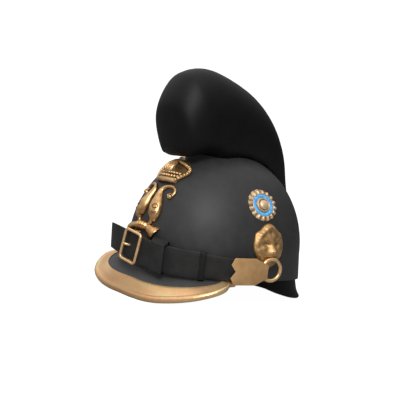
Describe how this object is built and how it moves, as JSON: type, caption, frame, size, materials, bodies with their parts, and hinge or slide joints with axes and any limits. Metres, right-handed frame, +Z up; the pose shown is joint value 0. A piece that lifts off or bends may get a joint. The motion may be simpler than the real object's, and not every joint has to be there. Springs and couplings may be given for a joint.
{
  "type": "crested helmet",
  "caption": "Black leather helmet with a thick wool crest over the crown, brass-bound peak, neck guard, brass badges, cockade and a buckled chin strap laid over the peak.",
  "frame": {"origin": "on the floor under the middle of the whole helmet's box", "axes": "+Z up, the front of the helmet faces -Y, the wearer's left is +X"},
  "size_m": [0.2366, 0.266, 0.271],
  "materials": {
    "leather": "waxed, satin",
    "strap_leather": "satin",
    "wool": "clipped pile",
    "brass": "cast, darkened in the hollows",
    "enamel": "gloss enamel"
  },
  "bodies": {
    "root": {"crown_shell": "leather", "front_peak": "leather", "peak_binding": "brass", "neck_guard": "leather", "crest": "wool", "crown_badge": "brass", "scroll_badge": "brass", "chin_strap_near": "strap_leather", "chin_strap_far": "strap_leather", "strap_keeper_1": "strap_leather", "strap_keeper_2": "strap_leather", "buckle_frame": "brass", "buckle_prong": "brass", "end_plate_left": "brass", "end_plate_right": "brass", "ring_left": "brass", "ring_right": "brass", "lion_left": "brass", "lion_right": "brass", "cockade_rim": "brass", "cockade_enamel": "enamel", "cockade_stud": "brass"}
  },
  "joints": []
}
